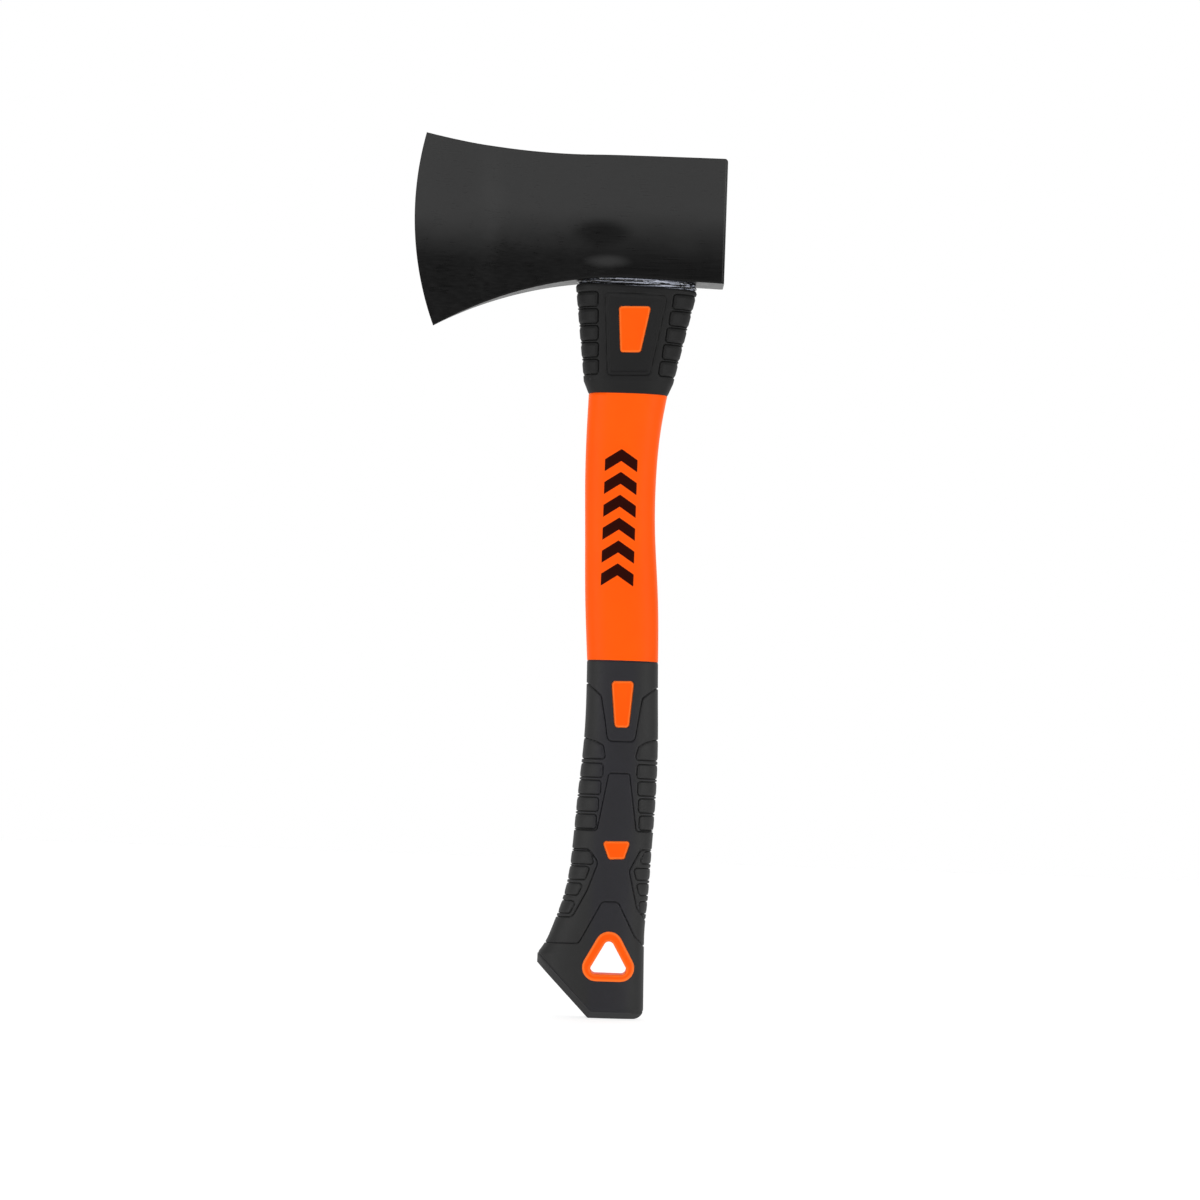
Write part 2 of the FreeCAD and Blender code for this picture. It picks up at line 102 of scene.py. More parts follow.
# How fine the meshes are: columns round one face, and the most between two rows.
GRIP_COLUMNS, GRIP_ROW = 122, 0.44
COLLAR_COLUMNS, COLLAR_ROW = 170, 0.4
JACKET_COLUMNS = 110
WINDOW_ROW, HIDDEN_ROW = 0.3, 3.0

# Sections of each stretch, from its foot: height, left, right, half thickness.
GRIP_SECTIONS = [
    (KNOB_HEIGHT, -33.0, 13.0, 12.4), (31.5, -30.0, 12.9, 12.4),
    (38.0, -27.2, 12.9, 12.3), (48.5, -23.6, 13.6, 12.1),
    (58.0, -21.3, 14.2, 12.0), (70.0, -19.8, 14.7, 12.0),
    (95.0, -18.1, 15.8, 11.9), (121.0, -16.1, 15.9, 11.3),
    (138.0, -15.8, 15.3, 10.8), (154.0, -16.0, 14.8, 10.5),
]
SHAFT_SECTIONS = [
    (0.0, -16.0, 14.8, 10.5), (27.7, -17.8, 13.8, 10.4), (57.8, -18.9, 11.5, 10.3),
    (78.5, -19.6, 11.2, 10.3), (102.8, -19.6, 12.8, 10.5), (115.5, -19.3, 14.8, 10.8),
]
COLLAR_SECTIONS = [
    (0.0, -19.3, 14.8, 10.8), (5.6, -21.7, 17.2, 12.0),
    (COLLAR_HEIGHT, -26.5, 26.5, 11.8), (60.0, -26.5, 26.5, 11.8),
]


# ------------------------------------------------------------ curves
def spline(knots, values):
    """Natural cubic through the values at the knots, as a function."""
    knots = np.asarray(knots, float)
    values = np.asarray(values, float)
    gaps = np.diff(knots)
    slopes = np.diff(values) / gaps
    count = len(knots)
    matrix = np.eye(count)
    turns = np.zeros(count)
    for i in range(1, count - 1):
        matrix[i, i - 1:i + 2] = gaps[i - 1], 2 * (gaps[i - 1] + gaps[i]), gaps[i]
        turns[i] = 6 * (slopes[i] - slopes[i - 1])
    bends = np.linalg.solve(matrix, turns)

    def at(place):
        place = np.asarray(place, float)
        i = np.clip(np.searchsorted(knots, place) - 1, 0, count - 2)
        gap = gaps[i]
        before = (knots[i + 1] - place) / gap
        after = (place - knots[i]) / gap
        cubic = (before ** 3 - before) * bends[i] + (after ** 3 - after) * bends[i + 1]
        return before * values[i] + after * values[i + 1] + cubic * gap * gap / 6

    return at


def straight(knots, values):
    """Straight runs through the values at the knots, as a function."""
    return lambda place: np.interp(place, knots, values)


def smooth_step(low, high, value):
    """Rises from 0 at the low value to 1 at the high one."""
    share = np.clip((value - low) / (high - low), 0.0, 1.0)
    return share * share * (3 - 2 * share)


def quarter_outline(fullness):
    """A quarter of a section one unit wide and deep, from its side to its face."""
    t = np.linspace(0, 1, 600)
    across = (1 - t) ** 3 + 3 * (1 - t) ** 2 * t + 3 * (1 - t) * t * t * fullness
    deep = 3 * (1 - t) ** 2 * t * fullness + 3 * (1 - t) * t * t + t ** 3
    return across, deep


class Skin:
    """Smooth outside of the handle, with its sections as functions of height."""

    def __init__(self, sections, foot, curve, fullness=FULLNESS):
        table = np.array(sections)
        heights = table[:, 0] + foot
        self.left, self.right, self.half = (curve(heights, table[:, i]) for i in (1, 2, 3))
        self.fullness = fullness
        self.across, self.deep = quarter_outline(fullness)

    def reach(self, z):
        return (self.right(z) - self.left(z)) / 2

    def x(self, across, z):
        return (self.left(z) + self.right(z)) / 2 + across * self.reach(z)

    def y(self, x, z):
        """Half thickness at a point of the side view."""
        share = np.abs(x - (self.left(z) + self.right(z)) / 2) / self.reach(z)
        return self.half(z) * np.interp(share, self.across[::-1], self.deep[::-1])


def joined(lower, upper, height):
    """Skin that follows one skin up to a height and another above it."""
    skin = Skin([(0, 0, 0, 0), (1, 0, 0, 0)], 0, straight)
    for name in ("left", "right", "half"):
        below, above = getattr(lower, name), getattr(upper, name)
        setattr(skin, name, lambda z, b=below, a=above: np.where(z < height, b(z), a(z)))
    return skin


KNOB_FOOT = (-1.0, GRIP_SECTIONS[0][1], GRIP_SECTIONS[0][2] + 0.6, GRIP_SECTIONS[0][3])
KNOB = Skin([KNOB_FOOT, GRIP_SECTIONS[0]], BUTT, straight)
GRIP = joined(KNOB, Skin(GRIP_SECTIONS, BUTT, spline), BUTT + KNOB_HEIGHT)
SHAFT = Skin(SHAFT_SECTIONS, SHAFT_FOOT, spline)
COLLAR = Skin(COLLAR_SECTIONS, COLLAR_FOOT, straight)
HANDLE = joined(joined(GRIP, SHAFT, SHAFT_FOOT), COLLAR, COLLAR_FOOT)


# ------------------------------------------------------------ outlines in the side view
def arc_centre(before, corner, after, radius):
    """Middle of the arc that rounds a corner."""
    back = (before - corner).normalized()
    ahead = (after - corner).normalized()
    return corner + (back + ahead).normalized() * (radius / math.sin(back.angle(ahead) / 2))


def bend(before, corner, after, radius, steps):
    """Points of the arc that rounds a corner."""
    back = (before - corner).normalized()
    ahead = (after - corner).normalized()
    half_angle = back.angle(ahead) / 2
    centre = arc_centre(before, corner, after, radius)
    start = corner + back * (radius / math.tan(half_angle)) - centre
    sweep = (math.pi - 2 * half_angle) * math.copysign(1.0, -back.cross(ahead))
    return [centre + Matrix.Rotation(sweep * i / steps, 2) @ start for i in range(steps + 1)]


def along_run(a, b, x, z):
    """Distance from a straight run, and how far beside its line on the right hand."""
    run = b - a
    share = ((x - a.x) * run.x + (z - a.y) * run.y) / max(run.length_squared, 1e-9)
    share = np.clip(share, 0.0, 1.0)
    away = np.hypot(x - a.x - share * run.x, z - a.y - share * run.y)
    beside = ((x - a.x) * run.y - (z - a.y) * run.x) / max(run.length, 1e-9)
    return away, beside


def outline_distance(corners, radius):
    """Signed distance to a convex outline with rounded corners, negative inside."""
    places = [Vector(corner) for corner in corners]
    following = places[1:] + places[:1]
    trios = zip(places[-1:] + places[:-1], places, following)
    middles = [arc_centre(before, corner, after, radius) for before, corner, after in trios]
    runs = list(zip(middles, middles[1:] + middles[:1]))
    turn = math.copysign(1.0, sum(a.cross(b) for a, b in runs))

    def at(x, z):
        nearest = np.full_like(x, 1e9)
        largest = np.full_like(x, -1e9)
        for a, b in runs:
            away, beside = along_run(a, b, x, z)
            nearest = np.minimum(nearest, away)
            largest = np.maximum(largest, turn * beside)
        return np.where(largest > 0, nearest, largest) - radius

    return at


def path_distance(points, radius):
    """Distance to an open path whose bends are rounded."""
    places = [Vector(point) for point in points]
    path = places[:1]
    for before, corner, after in zip(places, places[1:], places[2:]):
        path.extend(bend(before, corner, after, radius, 6))
    path.append(places[-1])

    def at(x, z):
        nearest = np.full_like(x, 1e9)
        for a, b in zip(path, path[1:]):
            nearest = np.minimum(nearest, along_run(a, b, x, z)[0])
        return nearest

    return at


def outline_points(corners, radius):
    """Points round a closed outline, ending where they start: as many for any radius."""
    places = [Vector(corner) for corner in corners]
    following = places[1:] + places[:1]
    arcs = [bend(places[i - 1], places[i], following[i], radius, 12) for i in range(len(places))]
    points = []
    for arc, after in zip(arcs, arcs[1:] + arcs[:1]):
        points.extend(arc)
        points.extend(arc[-1].lerp(after[0], i / 30) for i in range(1, 30))
    return np.array(points + points[:1])


def groove(distance, width=GROOVE_WIDTH, depth=GROOVE_DEPTH):
    """Depth of a soft V groove at that distance from its middle."""
    return depth * (1 - smooth_step(0.03, width * 0.58, np.abs(distance)))


# ------------------------------------------------------------ mesh builders
def shell(front, back, dropped=None, loop=False):
    """Closed skin of two matching grids of points, joined round every border.
    Dropped cells are left open, and a loop's last row is its first."""
    rows, columns = front[0].shape
    index = np.arange(rows * columns).reshape(rows, columns)
    both = [np.stack(side, axis=-1).reshape(-1, 3) for side in (front, back)]
    keep = np.ones((rows - 1, columns - 1), bool)
    if dropped is not None:
        keep = ~dropped
    quads = np.stack([index[:-1, :-1], index[:-1, 1:], index[1:, 1:], index[1:, :-1]], axis=-1)[keep]
    solid = np.pad(keep, 1)
    if loop:
        solid[0], solid[-1] = solid[1], solid[-2]
    sideways = solid[1:-1, :-1] != solid[1:-1, 1:]
    upwards = solid[:-1, 1:-1] != solid[1:, 1:-1]
    starts = np.concatenate([index[:-1][sideways], index[:, :-1][upwards]])
    ends = np.concatenate([index[1:][sideways], index[:, 1:][upwards]])
    walls = np.stack([starts, ends, ends + index.size, starts + index.size], axis=-1)
    faces = np.concatenate([quads, quads[:, ::-1] + index.size, walls])
    smooth = np.arange(len(faces)) < 2 * len(quads)
    return np.concatenate(both), faces, smooth


def face_columns(fullness, count, side_share=0.35):
    """Shares of the half width, close together on the face and wider at the sides."""
    across, deep = quarter_outline(fullness)
    across = np.concatenate([across, -across[-2::-1]])
    deep = np.concatenate([deep, deep[-2::-1]])
    walked = np.cumsum(np.hypot(np.diff(across), side_share * np.diff(deep)))
    walked = np.concatenate([[0], walked])
    return np.interp(np.linspace(0, walked[-1], count + 1), walked, across)


def snapped(x, z, edges, reach):
    """Points moved onto the nearest edge within their reach, so that edges run clean."""
    best = reach.copy()
    moved_x, moved_z = x.copy(), z.copy()
    step = 0.02
    for distance in edges:
        gap = distance(x, z)
        near = np.abs(gap) < best
        at_x, at_z, gap = x[near], z[near], gap[near]
        slope_x = (distance(at_x + step, at_z) - distance(at_x - step, at_z)) / (2 * step)
        slope_z = (distance(at_x, at_z + step) - distance(at_x, at_z - step)) / (2 * step)
        moved_x[near] = at_x - gap * slope_x
        moved_z[near] = at_z - gap * slope_z
        best[near] = np.abs(gap)
    return moved_x, moved_z


def outward_normals(x, y, z, across):
    """Directions out of one face of a tube, level with the side view at its sides."""
    up = [np.gradient(v, axis=0) for v in (x, y, z)]
    around = [np.gradient(v, axis=1) for v in (x, y, z)]
    normal = np.cross(np.stack(up, axis=-1), np.stack(around, axis=-1))
    normal[:, [0, -1], 1] = 0.0
    normal /= np.linalg.norm(normal, axis=-1)[..., None]
    facing = normal[..., 1] * (1 - np.abs(across)) + normal[..., 0] * across
    return normal * np.where(facing < 0, -1.0, 1.0)[..., None]


def tube(skin, row_lines, columns, sink, edges=(), opening=None, shave=None):
    """Closed length of handle. Each row line is a height or a function of x. sink
    gives how deep a point of the side view lies, edges are the distances of lines
    that the mesh follows, opening says which points are a hole right through, and
    shave is what comes off the faces but not off the sides."""
    across = face_columns(skin.fullness, columns)
    lines = [line if callable(line) else (lambda x, z=line: x * 0 + z) for line in row_lines]
    z = np.array([line(across * 0) for line in lines])
    for _ in range(12):
        x = skin.x(across, z)
        z = np.array([line(row) for line, row in zip(lines, x)])
    x = skin.x(across, z)
    reach = skin.reach(z) * np.abs(np.gradient(across)) / 2
    reach *= np.abs(across) < 0.95
    reach[[0, -1]] = 0.0
    x, z = snapped(x, z, edges, reach)
    y = skin.y(x, z)
    dropped = None
    if opening is not None:
        dropped = opening((x[:-1, :-1] + x[1:, 1:]) / 2, (z[:-1, :-1] + z[1:, 1:]) / 2)
    points = np.stack([x, y, z], axis=-1)
    points -= outward_normals(x, y, z, across) * sink(x, z)[..., None]
    x, y, z = points[..., 0], points[..., 1], points[..., 2]
    if shave is not None:
        y = np.maximum(y - shave(x, z), y * 0.3)
    return shell((x, -y, z), (x, y, z), dropped)


def heights(low, high, step, lines=()):
    """Heights from low to high, at most a step apart, with one on every line."""
    marks = [low]
    for line in sorted(lines) + [high]:
        if line - marks[-1] > 0.13 and line <= high:
            marks.append(line)
    rows = [low]
    for a, b in zip(marks, marks[1:]):
        count = math.ceil((b - a) / step)
        rows.extend(a + (b - a) * (i + 1) / count for i in range(count))
    return rows


def blended(lower, upper, share):
    """Row line a share of the way from one line to another."""
    return lambda x: lower(x) * (1 - share) + upper(x) * share


def new_piece(name, parts, nodes, material, sharp=1.2):
    """Object made of closed skins that rides on the root body."""
    start = 0
    vertices, faces, smooth = [], [], []
    for part_vertices, part_faces, part_smooth in parts:
        vertices.append(part_vertices)
        faces.extend((part_faces + start).tolist())
        smooth.extend(part_smooth.tolist())
        start += len(part_vertices)
    mesh = bpy.data.meshes.new(name)
    mesh.from_pydata((np.concatenate(vertices) * MM).tolist(), [], faces)
    mesh.polygons.foreach_set("use_smooth", smooth)
    work = bmesh.new()
    work.from_mesh(mesh)
    bmesh.ops.remove_doubles(work, verts=work.verts, dist=2e-6)
    bmesh.ops.recalc_face_normals(work, faces=work.faces)
    for edge in work.edges:
        edge.smooth = edge.calc_face_angle(0.0) < sharp
    work.to_mesh(mesh)
    work.free()
    piece = bpy.data.objects.new(name, mesh)
    bpy.context.scene.collection.objects.link(piece)
    mesh.materials.append(material)
    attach(piece, "root")
    if nodes:
        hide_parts(*nodes)
    return piece


def mark(piece, name, value_at):
    """Gives each vertex a number that depends on its place in the side view."""
    mesh = piece.data
    points = np.empty(len(mesh.vertices) * 3)
    mesh.vertices.foreach_get("co", points)
    points = points.reshape(-1, 3) / MM
    values = value_at(points[:, 0], points[:, 2])
    mesh.attributes.new(name, "FLOAT", "POINT").data.foreach_set("value", values)


# ------------------------------------------------------------ what the handle is marked with
def above_collar_foot(corners):
    """Corners given from the collar's foot, put at their height on the axe."""
    return [(x, COLLAR_FOOT + z) for x, z in corners]


COLLAR_WINDOW = outline_distance(
    above_collar_foot([(-7.9, 37.8), (6.8, 38.3), (2.8, 17.8), (-6.6, 17.4)]), 1.5)
UPPER_WINDOW = outline_distance([(-5.4, 145.1), (4.9, 145.4), (3.3, 125.0), (-3.3, 124.8)], 1.8)
LOWER_WINDOW = outline_distance([(-7.0, 76.0), (5.8, 76.5), (3.3, 68.4), (-3.9, 68.1)], 1.3)
HOLE_CORNERS = [(-2.3, 35.3), (7.0, 18.9), (-11.5, 18.9)]
HOLE_RADIUS = 2.2
RING_CORNERS = [(-2.3, 44.2), (13.4, 15.7), (-18.0, 15.7)]
RING_RADIUS = 6.2
HOLE = outline_distance(HOLE_CORNERS, HOLE_RADIUS)
RING = outline_distance(RING_CORNERS, RING_RADIUS)


def grip_blocks():
    """Outlines of the grip's raised blocks; their outer ends run off the side."""
    left, right = -45.0, 30.0
    outlines = [
        [(left, 120.0), (-15.7, 120.0), (-11.1, 118.6), (-8.0, 117.1), (-6.9, 111.7), (left, 111.3)],
        [(right, 120.0), (14.8, 120.0), (10.6, 118.6), (7.9, 116.9), (6.6, 111.7), (right, 111.3)],
    ]
    for i in range(4):
        top = 109.2 - i * 7.35
        bottom = top - 5.5
        inner_left = -7.8 - 0.72 * i
        inner_right = 7.6 + 0.56 * i
        outlines.append([(left, top), (inner_left, top), (inner_left, bottom), (left, bottom)])
        outlines.append([(right, top), (inner_right, top), (inner_right, bottom), (right, bottom)])
    lower = [
        (left, 71.3, 66.2, -12.0, -10.3), (left, 64.7, 59.5, -11.9, -13.8),
        (left, 57.4, 52.8, -14.7, -16.9), (left, 49.8, 44.9, -17.5, -20.0),
        (right, 71.8, 67.1, 12.3, 10.0), (right, 64.6, 60.1, 7.6, 8.8),
        (right, 58.0, 53.5, 9.0, 10.4), (right, 50.3, 45.5, 10.4, 11.2),
    ]
    for side, top, bottom, top_end, bottom_end in lower:
        outlines.append([(side, top), (top_end, top), (bottom_end, bottom), (side, bottom)])
    return outlines


def collar_blocks():
    """Outlines of the five blocks down each side of the collar."""
    outlines = []
    for i in range(5):
        top = 43.5 - i * 7.33
        bottom = top - 5.8
        inner_left = -17.1 + 0.28 * i
        inner_right = 16.6 - 1.25 * i
        outlines.append([(-40, top), (inner_left, top), (inner_left, bottom), (-40, bottom)])
        outlines.append([(40, top), (inner_right, top), (inner_right - 0.6, bottom), (40, bottom)])
    return [above_collar_foot(outline) for outline in outlines]


GRIP_LINES = [
    ([(-30.0, 144.0), (-15.6, 144.0), (-9.4, 138.6), (-7.4, 128.1), (-6.0, 119.1),
      (5.9, 119.1), (7.1, 128.1), (8.6, 138.0), (14.6, 142.7), (28.0, 143.0)], 2.5),
    ([(-35.0, 80.9), (-18.0, 80.5), (-9.2, 80.7), (-4.9, 105.3),
      (4.1, 105.3), (7.8, 80.7), (15.0, 80.5), (28.0, 80.9)], 1.2),
    ([(-35.0, 72.4), (-12.2, 72.4), (-8.2, 66.8), (-12.6, 54.6), (-18.6, 43.1), (-35.0, 43.1)], 3.0),
    ([(28.0, 73.0), (10.2, 73.0), (5.4, 63.6), (9.2, 47.6), (13.4, 42.2), (28.0, 42.0)], 3.0),
    ([(-50.0, 31.3), (-15.4, 31.9), (-5.8, 50.1), (1.0, 50.1), (8.6, 35.6), (12.9, 31.3),
      (28.0, 31.0)], 2.2),
]
COLLAR_PANEL = above_collar_foot([(-14.4, 44.2), (14.2, 43.6), (7.4, 7.8), (-12.1, 7.1)])


def moved(distance, offset):
    """Distance to the line that runs an offset outside an outline."""
    return lambda x, z: distance(x, z) - offset


def block_sink(x, z, blocks, width, depth, shoulder):
    """Depth of the moats round the blocks and of the blocks' rounded shoulders."""
    sink = np.zeros_like(x)
    for block in blocks:
        gap = block(x, z)
        sink = np.maximum(sink, groove(gap - width / 2, width, depth))
        edge = 1 - smooth_step(0.0, 1.1, np.abs(gap + 0.1))
        sink = np.maximum(sink, shoulder * edge)
    return sink


def block_levels(outlines, width):
    """Heights where the moats above and below each block lie."""
    lines = []
    for outline in outlines:
        tops = [z for _, z in outline]
        for edge, way in ((max(tops), 1), (min(tops), -1)):
            lines.extend([edge, edge + way * width / 2, edge + way * width])
    return lines


# ------------------------------------------------------------ rubber grip
SLANT_TOP = (-33.1, 23.1)
SLANT_FOOT = -10.4
SLANT = SLANT_TOP[1] / (SLANT_FOOT - SLANT_TOP[0])
BUTT_RADIUS = 4.6


def butt_line(inset):
    """Row line that runs an inset above the slanted, flat-ended butt."""
    lean = math.hypot(1, SLANT)
    corner = KNOB_FOOT[2] - BUTT_RADIUS

    def at(x):
        slanted = (SLANT_FOOT - x) * SLANT + inset * lean
        flat = x * 0 + inset
        over = np.clip(x - corner, 0, BUTT_RADIUS - 0.01)
        turned = inset + BUTT_RADIUS - np.sqrt(BUTT_RADIUS ** 2 - over ** 2)
        soft = np.logaddexp(slanted * 3, flat * 3) / 3
        return BUTT + np.maximum(soft - math.log(2) / 3 * np.exp(-np.abs(slanted - flat)), turned)

    return at


def end_distance(x, z):
    """Distance from the butt's flat and slanted ends."""
    slanted = (z - BUTT - (SLANT_FOOT - x) * SLANT) / math.hypot(1, SLANT)
    return np.minimum(slanted, z - BUTT)


def grip_sleeve(material):
    outlines = grip_blocks()
    blocks = [outline_distance(outline, BLOCK_RADIUS) for outline in outlines]
    paths = [path_distance(points, radius) for points, radius in GRIP_LINES]
    windows = (UPPER_WINDOW, LOWER_WINDOW)

    def sink(x, z):
        depth = block_sink(x, z, blocks, GROOVE_WIDTH, GROOVE_DEPTH, SHOULDER_DEPTH)
        for path in paths:
            depth = np.maximum(depth, groove(path(x, z)))
        depth = np.maximum(depth, groove(end_distance(x, z) - BUTT_CHAMFER - 0.4, 0.9, 0.3))
        for window in windows:
            depth = np.maximum(depth, POCKET_DEPTH * (1 - smooth_step(-0.3, -0.02, window(x, z))))
        return np.maximum(depth, 0.35 * smooth_step(SHAFT_FOOT - 0.7, SHAFT_FOOT, z))

    def chamfer(x, z):
        return np.maximum(BUTT_CHAMFER - end_distance(x, z), 0)

    def under_ring(x, z):
        return RING(x, z) < -1.6

    above = BUTT + 33.0
    rows = [butt_line(inset) for inset in (0.0, 0.7, 1.4, 2.1, BUTT_CHAMFER)]
    flat = butt_line(BUTT_CHAMFER)
    rows += [blended(flat, lambda x: x * 0 + above, (i + 1) / 70) for i in range(69)]
    lines = block_levels(outlines, GROOVE_WIDTH) + [SHAFT_FOOT - 0.4]
    rows += heights(above, SHAFT_FOOT, GRIP_ROW, lines)
    edges = [moved(block, GROOVE_WIDTH / 2) for block in blocks] + paths + list(windows)
    part = tube(GRIP, rows, GRIP_COLUMNS, sink, edges, under_ring, chamfer)
    return new_piece("rubber_grip", [part], ["grip_sleeve"], material)


# ------------------------------------------------------------ rubber collar
def seat_line(height):
    """Row line parallel to the head's underside."""
    return lambda x: height - SEAT_SLOPE * x


def collar(material):
    outlines = collar_blocks()
    blocks = [outline_distance(outline, BLOCK_RADIUS) for outline in outlines]
    panel = outline_distance(COLLAR_PANEL, COLLAR_PANEL_RADIUS)

    def sink(x, z):
        depth = block_sink(x, z, blocks, MOAT_WIDTH, MOAT_DEPTH, COLLAR_SHOULDER_DEPTH)
        inside = panel(x, z)
        steps = 2 - smooth_step(-0.4, 0.0, inside) - smooth_step(-0.2, 0.2, inside + PANEL_LIP)
        depth = np.maximum(depth, PANEL_STEP * steps + groove(inside + 0.45, 0.7, 0.3))
        depth = np.maximum(depth, POCKET_DEPTH * (1 - smooth_step(-0.3, -0.02, COLLAR_WINDOW(x, z))))
        foot = 1 - smooth_step(COLLAR_FOOT, COLLAR_FOOT + 0.6, z)
        top = smooth_step(COLLAR_TOP - 0.8, COLLAR_TOP, z + SEAT_SLOPE * x)
        return np.maximum(depth, np.maximum(0.3 * foot, 0.5 * top))

    edges = [moved(block, MOAT_WIDTH / 2) for block in blocks]
    edges += [panel, moved(panel, -PANEL_LIP), COLLAR_WINDOW]
    highest = COLLAR_FOOT + 44.0
    lines = block_levels(outlines, MOAT_WIDTH) + [COLLAR_FOOT + COLLAR_SECTIONS[1][0]]
    rows = heights(COLLAR_FOOT, highest, COLLAR_ROW, lines)
    top = seat_line(COLLAR_TOP)
    rows += [blended(lambda x: x * 0 + highest, top, (i + 1) / 7) for i in range(7)]
    part = tube(COLLAR, rows, COLLAR_COLUMNS, sink, edges)
    return new_piece("rubber_collar", [part], ["overstrike_collar"], material)


# ------------------------------------------------------------ orange jacket
def lanyard_ring():
    """Rounded rim round the lanyard hole and the hole's straight wall."""
    inner = outline_points(HOLE_CORNERS, HOLE_RADIUS)
    outer = outline_points(RING_CORNERS, RING_RADIUS)
    profile = [
        (0.0, -1.6), (0.0, -0.9), (0.04, -0.5), (0.12, -0.2), (0.24, 0.06), (0.38, 0.26), (0.52, 0.36),
        (0.66, 0.4), (0.78, 0.36), (0.89, 0.2), (0.96, -0.06), (1.0, -0.5), (1.0, -1.4),
    ]
    share = np.array([step[0] for step in profile])
    lift = np.array([step[1] for step in profile])
    x = inner[:, :1] * (1 - share) + outer[:, :1] * share
    z = inner[:, 1:] * (1 - share) + outer[:, 1:] * share
    y = GRIP.y(x, z) + lift
    return shell((x, -y, z), (x, y, z), loop=True)


def jacket_tube():
    """Bare shaft, sunk under the rubber but for the bosses that fill its windows."""
    bosses = [
        (COLLAR_WINDOW, WINDOW_SINK + 2 * PANEL_STEP), (UPPER_WINDOW, WINDOW_SINK),
        (LOWER_WINDOW, WINDOW_SINK),
    ]

    def sink(x, z):
        under = (z < SHAFT_FOOT - 0.01) | (z > COLLAR_FOOT + 0.01)
        depth = np.where(under, RUBBER_WALL, 0.0)
        for window, top in bosses:
            raised = 1 - smooth_step(-0.02, 0.3, window(x, z))
            rounded = top + 0.3 * smooth_step(-0.9, 0.0, window(x, z))
            depth = np.where(raised > 0, depth + (rounded - depth) * raised, depth)
        return depth

    rows = heights(BUTT + 45.0, BUTT + 67.0, HIDDEN_ROW)
    rows += heights(BUTT + 67.0, BUTT + 77.5, WINDOW_ROW)[1:]
    rows += heights(BUTT + 77.5, BUTT + 123.5, HIDDEN_ROW)[1:]
    rows += heights(BUTT + 123.5, BUTT + 146.5, WINDOW_ROW)[1:]
    rows += heights(BUTT + 146.5, SHAFT_FOOT - 0.3, 2.0)[1:]
    rows += heights(SHAFT_FOOT, COLLAR_FOOT, 1.2)
    rows += heights(COLLAR_FOOT + 0.3, COLLAR_FOOT + 16.0, HIDDEN_ROW)
    rows += heights(COLLAR_FOOT + 16.0, COLLAR_FOOT + 39.5, WINDOW_ROW)[1:]
    rows += heights(COLLAR_FOOT + 39.5, COLLAR_TOP - 1.5, HIDDEN_ROW)[1:]
    return tube(HANDLE, rows, JACKET_COLUMNS, sink, [window for window, _ in bosses])


def tongue():
    """The jacket's tongue in the eye, round the core."""
    section = (-TONGUE_REACH, TONGUE_REACH, TONGUE_HALF)
    skin = Skin([(0.0, *section), (80.0, *section)], COLLAR_TOP - 10, straight, EYE_FULLNESS)
    top = TANG_TOP - 0.1
    rows = heights(COLLAR_TOP - 4.0, top, 6.0, [top - 0.4])
    return tube(skin, rows, 60, lambda x, z: 0.4 * smooth_step(top - 0.4, top, z))


def jacket(material):
    parts = [jacket_tube(), lanyard_ring(), tongue()]
    piece = new_piece("orange_jacket", parts, ["handle_jacket"], material)

    def highlighted_rims(x, z):
        """1 on the rims of the ring and of the lumps that fill the windows, where a painted highlight goes.
        """
        lines = [window(x, z) + 0.3 for window in (COLLAR_WINDOW, UPPER_WINDOW, LOWER_WINDOW)]
        lines += [RING(x, z) + 0.5, HOLE(x, z) - 0.2]
        return np.max([1 - smooth_step(0.4, 0.9, np.abs(line)) for line in lines], axis=0)

    mark(piece, "rim", highlighted_rims)
    return piece


def shaft_print(material):
    """Column of plain chevrons printed on the shaft's front face."""
    parts = []
    middle, arm, thick, rise = -4.2, 7.0, 5.2, 4.6
    lowest, pitch = 186.0, 9.9
    share = np.linspace(-1, 1, 25)
    across = np.linspace(0, 1, 7)[:, None]
    for i in range(6):
        foot = lowest + i * pitch
        x = middle + share * arm + across * 0
        z = foot + (1 - np.abs(share)) * rise + across * thick
        y = SHAFT.y(x, z)
        parts.append(shell((x, -y - 0.05, z), (x, -y + 0.3, z)))
    return new_piece("shaft_print", parts, None, material)


# ------------------------------------------------------------ sealant bead
def bead(material):
    """Lumpy ring of sealant squeezed out under the head."""
    section = (-BEAD_REACH, BEAD_REACH, BEAD_HALF)
    skin = Skin([(0.0, *section), (12.0, *section)], COLLAR_TOP - 4, straight)
    middle = (COLLAR_TOP + UNDERSIDE) / 2

    def sink(x, z):
        height = (z + SEAT_SLOPE * x - middle) / (BEAD_HEIGHT / 2)
        lumps = np.sin(x * 1.13 + 0.7) * np.sin(x * 0.41 + z * 0.9) + 0.5 * np.sin(x * 2.9 + z)
        crease = 0.25 * np.sin(height * 5.5 + 0.35 * np.sin(x * 0.8))
        return 1.0 * height ** 2 - 0.55 + 0.22 * lumps + crease

    rows = [seat_line(COLLAR_TOP - 0.3 + i * (BEAD_HEIGHT + 0.5) / 24) for i in range(25)]
    return new_piece("sealant_bead", [tube(skin, rows, 180, sink)], ["seal_bead"], material)


# ------------------------------------------------------------ head
TOE = (-93.8, 381.5)
HEEL = (-88.0, 297.1)
EDGE_SAGITTA = 6.6
HORN_START = -25.0
HORN_BOW = -1.9
BEARD_START = -8.0
BEARD_BOW = 5.1
HEAD_CORNER = 1.4
BEVEL_SLOPE = 0.15
RIM_RADIUS = 0.6

# Half thickness of the head along its length: x, half thickness.
HEAD_PLAN = [
    (-108, 0.74), (-82, 2.0), (-68, 3.8), (-56, 7.1), (-45, 10.2), (-28, 11.7),
    (2, HEAD_HALF), (36.2, HEAD_HALF - 0.4),
]


